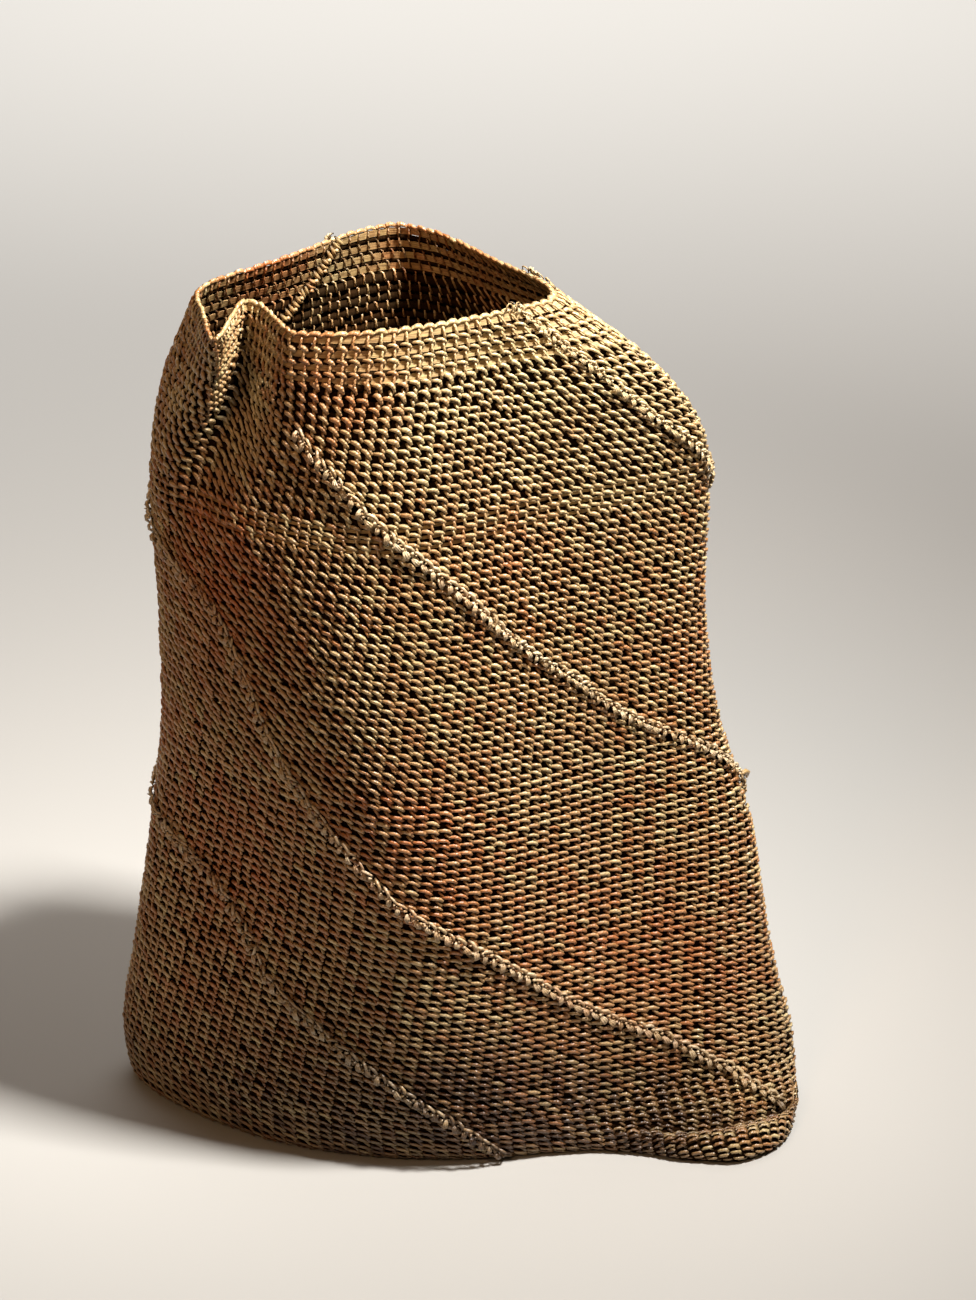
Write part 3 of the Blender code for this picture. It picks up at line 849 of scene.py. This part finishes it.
# %% Lines of the ridges
RIDGES = {
    "ridge_right": ((438, 0.60), (418, 0.55), (392, 0.47), (374, 0.38), (348, 0.11), (300, -0.55),
                    (200, -1.75), (100, -2.80), (30, -3.40), (6, -3.56)),
    "ridge_front": ((390, 2.56), (386, 2.52), (364, 2.16), (346, 1.93), (314, 1.60), (268, 1.21),
                    (222, 0.68), (200, 0.33), (172, -0.04), (100, -0.90), (30, -1.75), (6, -2.03)),
    "ridge_left": ((438, 5.47), (414, 5.25), (364, 4.62), (314, 3.80), (298, 3.36), (264, 3.05),
                   (230, 2.83), (194, 2.48), (162, 2.14), (116, 1.61), (90, 1.37), (74, 1.20),
                   (62, 1.03), (54, 0.89), (44, 0.76), (36, 0.66), (31, 0.57), (28, 0.49),
                   (26.5, 0.40), (25, 0.32), (23.5, 0.24), (22, 0.18)),
    "ridge_back": ((438, 7.45), (400, 6.95), (300, 5.70), (220, 4.70), (162, 3.95), (144, 3.43),
                   (120, 3.13), (96, 2.94), (74, 2.60), (52, 2.28), (30, 1.97), (6, 1.72)),
}
RIDGE_POINTS = 1200
KNOT_STEP = 5.8      # mm from knot to knot
SIDE_STEP, RISE_STEP = 0.02, 2    # meridians and mm, over which the directions are taken


def cloth_at(u, height):
    """Point of the outer face at a meridian and height, the turned foot included."""
    wall_height = np.maximum(height, FOOT_HEIGHT)
    wall = np.concatenate([folded(u, wall_height), wall_height[:, None]], axis=1)
    turned = foot(u, np.interp(height, [row[2] for row in FOOT], [row[0] for row in FOOT]))
    return np.where((height < FOOT_HEIGHT)[:, None], turned, wall)


def cloth_sides(u, height):
    """Directions to the right and outwards on the cloth at a meridian and height."""
    right = cloth_at(u - SIDE_STEP, height) - cloth_at(u + SIDE_STEP, height)
    above = cloth_at(u, np.minimum(height + RISE_STEP, HEIGHT))
    return right, np.cross(right, above - cloth_at(u, height - RISE_STEP))


def ridge_frames(stations):
    """Points knot by knot down a ridge, with the directions along it, across it and outwards."""
    table = np.array(stations, float)[::-1]
    height = np.linspace(table[-1, 0], table[0, 0], RIDGE_POINTS)
    u = spline(table[:, 0], table[:, 1], height)
    line, out = cloth_at(u, height), cloth_sides(u, height)[1]
    run = run_along(line)
    where = np.arange(KNOT_STEP / 2, run[-1], KNOT_STEP)
    place, out = (np.stack([np.interp(where, run, values[:, k]) for k in range(3)], axis=1)
                  for values in (line, out))
    out = unit(out)
    along = np.gradient(place, axis=0)
    along = unit(along - out * (along * out).sum(axis=1, keepdims=True))
    return place, along, np.cross(out, along), out


for name, stations in RIDGES.items():
    print(name, "is", round(len(ridge_frames(stations)[0]) * KNOT_STEP), "mm long")

# %% One knot: three strands side by side, a long arc, a bead and a tip
# height, size; a ridge thins out where it was worked tighter
KNOT_SIZES = {
    "ridge_right": ((0, 0.85), (330, 0.85), (438, 0.55)),
    "ridge_front": ((0, 0.70), (268, 0.70), (310, 0.88), (390, 0.78)),
    "ridge_left": ((0, 0.85), (438, 0.75)),
    "ridge_back": ((0, 0.85), (438, 0.75)),
}
# each strand: along the ridge, across it, outwards, radius, all in mm
BUD = [((-2.5 + 0.2 * k, 0.7 + 0.3 * k, 1.4, 0.42),
        (-0.8 + 0.62 * k, -0.6 + 0.82 * k, 3.3 - 0.3 * abs(k), 0.74),
        (1.0 + 0.58 * k, -1.9 + 0.77 * k, 3.2 - 0.3 * abs(k), 0.72),
        (2.8 + 0.1 * k, -3.4 + 0.1 * k, 0.8, 0.36))
       for k in (-1, 0, 1)]
LONG_ARC = ((-4.0, 2.3, 0.4, 0.60), (-2.0, 3.6, 2.0, 1.04), (0.8, 3.8, 2.5, 1.16),
            (3.1, 2.8, 1.5, 0.92), (4.3, 1.6, 0.4, 0.56))
BEAD = ((1.9, 0.7, 1.6, 0.62), (2.9, 1.1, 3.0, 1.10), (4.0, 0.9, 1.6, 0.60))
TIP = ((-1.0, 1.2, 1.0, 0.55), (-1.9, 2.2, 3.3, 0.46))


def tied(*strings):
    """Short strands with closed ends, as one template."""
    return together(*[strand(string, closed=False) for string in strings])


# %% Knots down every ridge
TURNED, LONGER, HIGHER = 0.38, 0.12, 0.14    # how far one knot differs: radians, shares of its size
KNOT_SHADE_TOP, KNOT_SHADE_FADE = 1.7, 1.6                  # mm: painted shade under the knots: height where it starts, depth where it is full
KNOT_SEED = 60


def placed(template, frames, rng, uneven, size):
    """A template repeated at frames, with its x along, y across and z outwards."""
    place, along, across, out = (values[:, None] for values in frames)
    count = len(place)
    turn = uneven_by(TURNED * uneven, count, rng)
    local = template["middle"] + template["offset"]
    flat_x, flat_y, z = (np.reshape(size, (-1, 1)) * local[:, k][None] for k in range(3))
    x = (flat_x * np.cos(turn) - flat_y * np.sin(turn)) * (1 + uneven_by(LONGER * uneven, count, rng))
    y = (flat_x * np.sin(turn) + flat_y * np.cos(turn)) * (1 + uneven_by(LONGER * uneven, count, rng))
    z = z * (1 + uneven_by(HIGHER * uneven, count, rng))
    points = place + along * x[..., None] + across * y[..., None] + out * z[..., None]
    points[..., 2] = np.maximum(points[..., 2], FLOOR_GAP)
    shift = np.arange(count)[:, None, None] * len(local)
    faces = (template["faces"][None] + shift).reshape(-1, 4)
    # painted shade on the low parts of a knot, against the cloth
    sunk = np.tile(np.clip((KNOT_SHADE_TOP - local[:, 2]) / KNOT_SHADE_FADE, 0, 1), count)
    return (points.reshape(-1, 3), faces, np.tile(template["uvs"], (count, 1, 1)),
            np.repeat(np.arange(count), len(local)), points.mean(axis=1), sunk)


ridge_pieces = []
for order, (name, stations) in enumerate(RIDGES.items()):
    rng = np.random.default_rng(KNOT_SEED + order)
    frames = ridge_frames(stations)
    size = np.interp(frames[0][:, 2], *np.array(KNOT_SIZES[name]).T)
    parts = [placed(knot, frames, rng, 1.0, size) for knot in (tied(*BUD), tied(LONG_ARC, BEAD, TIP))]
    ridge_pieces.append(string_piece(name + "_knots", parts, rng, knot_fibre))

# %% [markdown]
# ## Loose work at the mouth
# Where a ridge reaches the mouth it is bound to the cloth, and the binding shows inside as a ladder
# of small crescents. A few loose loops stand on the rim there, and one ridge has a free end at the
# right side. They are short strands like those of the knots, each placed by meridian and height.

# %% Crescents inside, loops on the rim and a free end
CRESCENTS = [((a, -3.5, 0.2, 0.44), (a + 0.7, -1.2, 1.6, 0.90), (a + 0.7, 1.2, 1.7, 0.90),
              (a, 3.5, 0.2, 0.44)) for a in (-1.6, 0.6)]
CRESCENTS.append(((1.6, 0.9, 0.8, 0.60), (2.7, 0.2, 2.4, 1.10), (3.9, -0.6, 0.8, 0.60)))
LOOP = ((-1.9, -2.0, 0.6, 0.40), (-2.0, 0.6, 1.2, 0.44), (-0.6, 2.3, 1.4, 0.46),
        (1.2, 2.0, 1.3, 0.46), (2.0, 0.2, 1.0, 0.44), (1.8, -2.0, 0.4, 0.40))
FREE_END = ((-6.0, 2.4, 1.0, 0.60), (-2.4, 1.2, 3.6, 1.35), (0.6, -1.0, 4.3, 1.85),
            (2.6, -3.6, 4.0, 1.30), (3.2, -5.4, 3.4, 0.50))
LADDER_LINE = ((438, 5.47), (414, 5.25), (384, 4.88))     # height, meridian
LOOP_SPOTS = ((7.36, 437.5), (7.46, 438), (7.56, 438), (7.68, 438), (7.82, 438), (0.66, 438),
              (0.56, 438))                                # meridian, height
FREE_END_SPOTS = ((-0.06, 174),)
LOOSE_SEED = 70


def spots(places):
    """Frames at stated meridians and heights, with right, up and outwards as their axes."""
    u, height = np.array(places, float).T
    right, out = (unit(side) for side in cloth_sides(u, height))
    return cloth_at(u, height), right, np.cross(out, right), out


def turned_in(frames, depth):
    """The same frames on the inner face of the cloth."""
    place, along, across, out = frames
    return place - out * depth, along, -across, -out


loose_rng = np.random.default_rng(LOOSE_SEED)
ladder = turned_in(ridge_frames(LADDER_LINE), SHEET)
loose_parts = [placed(tied(*CRESCENTS), ladder, loose_rng, uneven=0.6, size=1.2),
               placed(tied(LOOP), spots(LOOP_SPOTS), loose_rng, uneven=0.8, size=0.85),
               placed(tied(FREE_END), spots(FREE_END_SPOTS), loose_rng, uneven=0.0, size=1.0)]
loose_work = string_piece("loose_work", loose_parts, loose_rng, ribbon_fibre)

# %% [markdown]
# ## Floor
# The floor is a plain pale sheet, large enough to fill the view. It isn't part of the bag.

# %% A plain pale floor
FLOOR_HALF = 6.0     # metres

bm = bmesh.new()
bmesh.ops.create_grid(bm, x_segments=1, y_segments=1, size=FLOOR_HALF)
mesh = bpy.data.meshes.new("floor")
bm.to_mesh(mesh)
bm.free()
floor = in_scene("floor", mesh)
paper = bpy.data.materials.new("floor_paper")
paper.use_nodes = True
paper_shader = paper.node_tree.nodes["Principled BSDF"]
paper_shader.inputs["Base Color"].default_value = (0.38, 0.373, 0.36, 1)
paper_shader.inputs["Roughness"].default_value = 0.85
mesh.materials.append(paper)

# %% [markdown]
# ## Light
# A high lamp from the right and a little in front draws the stitches out and leaves the left side in
# shade. A weak warm lamp from the front left and a faint warm sky keep that shade open. A narrow
# spread holds both lamps on the bag, so a wide third one lights the floor behind it.

# %% Studio light
world = bpy.data.worlds.new("studio")
bpy.context.scene.world = world
world.use_nodes = True
world.node_tree.nodes["Background"].inputs["Color"].default_value = (1.0, 0.66, 0.40, 1)
world.node_tree.nodes["Background"].inputs["Strength"].default_value = 0.045


def lamp(name, place, towards, size, power, spread, colour):
    """A square soft lamp; a narrow spread keeps its light near the point it is turned to."""
    light = bpy.data.lights.new(name, "AREA")
    light.energy, light.size, light.color, light.spread = power, size, colour, math.radians(spread)
    made = in_scene(name, light)
    made.location = place
    made.rotation_euler = (Vector(place) - Vector(towards)).to_track_quat("Z", "Y").to_euler()


lamp("key_lamp", place=(0.57, -0.28, 1.67), towards=(-0.03, 0.0, 0.37), size=0.20, power=7.6,
     spread=56, colour=(1.0, 0.965, 0.91))
lamp("fill_lamp", place=(-0.60, -1.30, 1.50), towards=(-0.05, 0.0, 0.50), size=0.50, power=0.84,
     spread=50, colour=(1.0, 0.62, 0.33))
lamp("floor_lamp", place=(0.0, 2.65, 3.0), towards=(0.0, 2.65, 0.0), size=3.0, power=86,
     spread=84, colour=(1.0, 0.98, 0.95))
bpy.context.scene.view_settings.view_transform = "Standard"

# %% [markdown]
# ## Fitting to the frame
# Every piece rides on the bag's one body and keeps the finish it was made with. The
# looped cloth stands in for the plain solid, which is hidden.

# %% Finish
for piece in string_pieces + [ribbons, loose_work] + ridge_pieces:
    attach(piece, "root")
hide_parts("bag_body")
